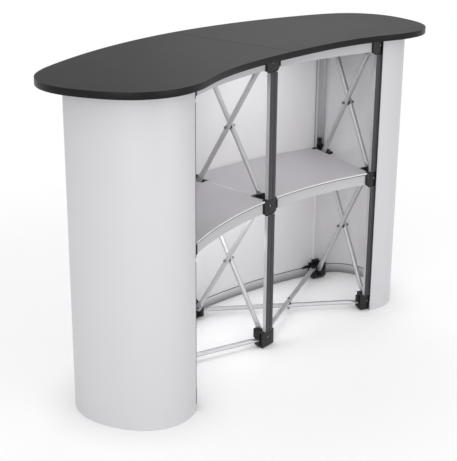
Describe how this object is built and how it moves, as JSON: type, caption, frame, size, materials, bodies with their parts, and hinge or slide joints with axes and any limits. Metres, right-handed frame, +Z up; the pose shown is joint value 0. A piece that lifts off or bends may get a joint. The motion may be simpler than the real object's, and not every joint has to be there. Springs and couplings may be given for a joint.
{
  "type": "exhibition counter",
  "caption": "Curved pop-up exhibition counter: scissor frame of tubes and hubs, split top, split shelf and a flexible wrap, open at the back.",
  "frame": {"origin": "centre of the counter's plan box on the floor", "axes": "+X along the counter, +Y towards the convex public side, +Z up"},
  "size_m": [1.4864, 0.5599, 0.9483],
  "materials": {
    "hub_plastic": "satin moulded black nylon",
    "tube_aluminium": "satin anodised",
    "bar_aluminium": "dark satin anodised, bare silver flanks",
    "top_laminate": "dark grey laminate on board, satin",
    "apron_plastic": "white rigid plastic",
    "shelf_laminate": "pale grey laminate, satin",
    "wrap_vinyl": "plain white laminated vinyl panel, satin",
    "strip_vinyl": "grey vinyl strip"
  },
  "bodies": {
    "frame": {"hub_inner_left_foot": "hub_plastic", "hub_inner_centre_foot": "hub_plastic", "hub_inner_right_foot": "hub_plastic", "hub_outer_left_foot": "hub_plastic", "hub_outer_centre_foot": "hub_plastic", "hub_outer_right_foot": "hub_plastic", "hub_inner_left_middle": "hub_plastic", "hub_inner_centre_middle": "hub_plastic", "hub_inner_right_middle": "hub_plastic", "hub_outer_left_middle": "hub_plastic", "hub_outer_centre_middle": "hub_plastic", "hub_outer_right_middle": "hub_plastic", "hub_inner_left_top": "hub_plastic", "hub_inner_centre_top": "hub_plastic", "hub_inner_right_top": "hub_plastic", "hub_outer_left_top": "hub_plastic", "hub_outer_centre_top": "hub_plastic", "hub_outer_right_top": "hub_plastic", "upright_scissor_left_lower_a": "tube_aluminium", "upright_scissor_left_lower_b": "tube_aluminium", "upright_scissor_left_upper_a": "tube_aluminium", "upright_scissor_left_upper_b": "tube_aluminium", "upright_scissor_centre_lower_a": "tube_aluminium", "upright_scissor_centre_lower_b": "tube_aluminium", "upright_scissor_centre_upper_a": "tube_aluminium", "upright_scissor_centre_upper_b": "tube_aluminium", "upright_scissor_right_lower_a": "tube_aluminium", "upright_scissor_right_lower_b": "tube_aluminium", "upright_scissor_right_upper_a": "tube_aluminium", "upright_scissor_right_upper_b": "tube_aluminium", "level_scissor_left_foot_a": "tube_aluminium", "level_scissor_left_foot_b": "tube_aluminium", "level_scissor_left_middle_a": "tube_aluminium", "level_scissor_left_middle_b": "tube_aluminium", "level_scissor_left_top_a": "tube_aluminium", "level_scissor_left_top_b": "tube_aluminium", "level_scissor_right_foot_a": "tube_aluminium", "level_scissor_right_foot_b": "tube_aluminium", "level_scissor_right_middle_a": "tube_aluminium", "level_scissor_right_middle_b": "tube_aluminium", "level_scissor_right_top_a": "tube_aluminium", "level_scissor_right_top_b": "tube_aluminium", "bar_inner_left_lower": "bar_aluminium", "bar_inner_left_upper": "bar_aluminium", "bar_inner_centre_lower": "bar_aluminium", "bar_inner_centre_upper": "bar_aluminium", "bar_inner_right_lower": "bar_aluminium", "bar_inner_right_upper": "bar_aluminium", "bar_outer_left_upper": "bar_aluminium", "bar_outer_centre_upper": "bar_aluminium", "bar_outer_right_upper": "bar_aluminium", "top_apron_left": "apron_plastic", "top_apron_right": "apron_plastic", "wrap_panel": "wrap_vinyl", "wrap_base_strip": "strip_vinyl"},
    "top_left": {"counter_top_left": "top_laminate"},
    "top_right": {"counter_top_right": "top_laminate"},
    "shelf_left": {"shelf_left": "shelf_laminate"},
    "shelf_right": {"shelf_right": "shelf_laminate"}
  },
  "joints": [
    {"name": "top_left_lift", "type": "slide", "parent": "frame", "child": "top_left", "axis": [0, 0, 1], "range_m": [0, 0.12]},
    {"name": "top_right_lift", "type": "slide", "parent": "frame", "child": "top_right", "axis": [0, 0, 1], "range_m": [0, 0.12]},
    {"name": "shelf_left_lift", "type": "slide", "parent": "frame", "child": "shelf_left", "axis": [0, 0, 1], "range_m": [0, 0.01]},
    {"name": "shelf_right_lift", "type": "slide", "parent": "frame", "child": "shelf_right", "axis": [0, 0, 1], "range_m": [0, 0.01]}
  ]
}
